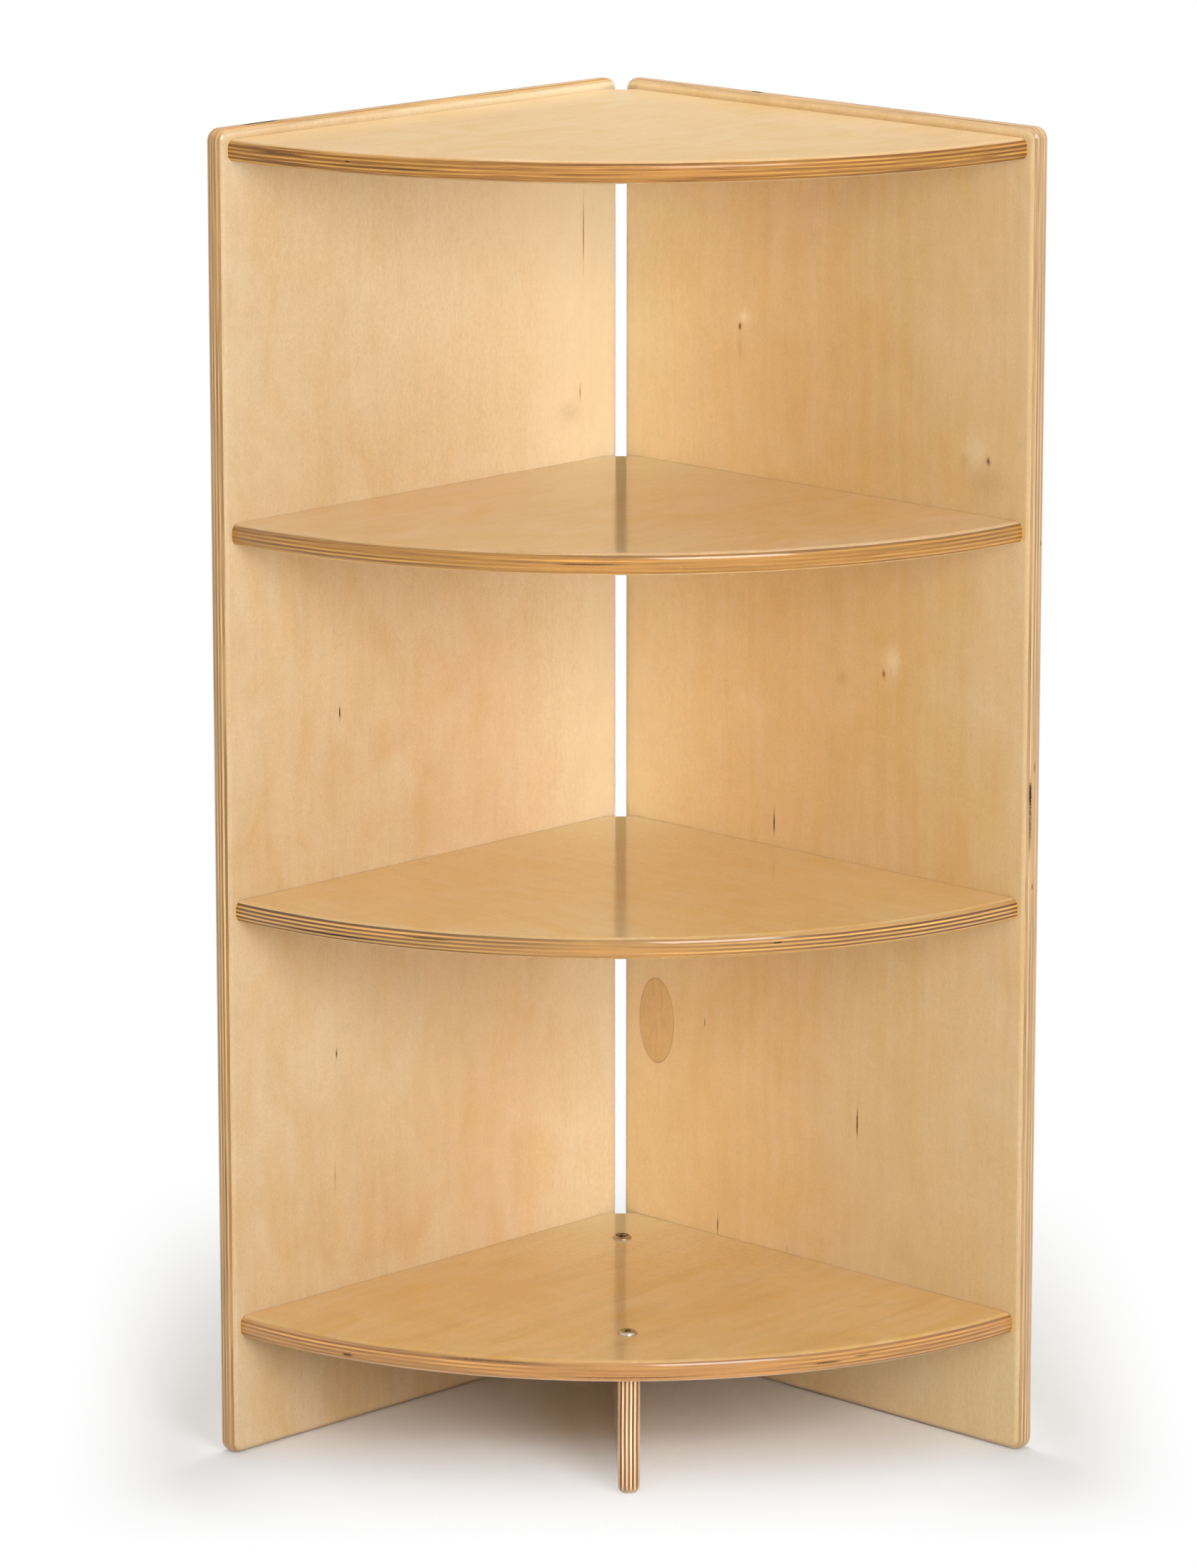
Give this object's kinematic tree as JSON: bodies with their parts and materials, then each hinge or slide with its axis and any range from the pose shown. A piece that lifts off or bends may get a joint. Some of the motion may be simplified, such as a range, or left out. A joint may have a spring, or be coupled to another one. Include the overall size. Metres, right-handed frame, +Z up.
{
  "type": "corner storage unit",
  "caption": "Free-standing corner shelf unit of birch plywood: upright side panels at a right angle carry fixed quarter-round shelves with rounded edges, with a leg on edge below.",
  "frame": {"origin": "on the floor, at the middle of the unit's box", "axes": "+Z up; the corner is towards -X and +Y, the left panel lies along Y, the right panel along X, and the open curved front faces +X and -Y"},
  "size_m": [0.3984, 0.3984, 0.914],
  "materials": {
    "birch_plywood": "clear satin lacquer",
    "veneer_repair": "clear satin lacquer",
    "dowel_birch": "plain, unfinished",
    "nickel_bolt": "bright nickel plate",
    "zinc_nut": "zinc plate"
  },
  "bodies": {
    "root": {"bottom_left_barrel_nuts": "zinc_nut", "bottom_left_bolts": "nickel_bolt", "bottom_left_dowel": "dowel_birch", "bottom_right_barrel_nuts": "zinc_nut", "bottom_right_bolts": "nickel_bolt", "bottom_right_dowel": "dowel_birch", "bottom_shelf": "birch_plywood", "diagonal_leg": "birch_plywood", "left_side_panel": "birch_plywood", "leg_barrel_nuts": "zinc_nut", "leg_bolts": "nickel_bolt", "lower_left_barrel_nuts": "zinc_nut", "lower_left_bolts": "nickel_bolt", "lower_left_dowel": "dowel_birch", "lower_right_barrel_nuts": "zinc_nut", "lower_right_bolts": "nickel_bolt", "lower_right_dowel": "dowel_birch", "lower_shelf": "birch_plywood", "right_side_panel": "birch_plywood", "top_left_barrel_nuts": "zinc_nut", "top_left_bolts": "nickel_bolt", "top_left_dowel": "dowel_birch", "top_right_barrel_nuts": "zinc_nut", "top_right_bolts": "nickel_bolt", "top_right_dowel": "dowel_birch", "top_shelf": "birch_plywood", "upper_left_barrel_nuts": "zinc_nut", "upper_left_bolts": "nickel_bolt", "upper_left_dowel": "dowel_birch", "upper_right_barrel_nuts": "zinc_nut", "upper_right_bolts": "nickel_bolt", "upper_right_dowel": "dowel_birch", "upper_shelf": "birch_plywood", "veneer_patch": "veneer_repair"}
  },
  "joints": []
}
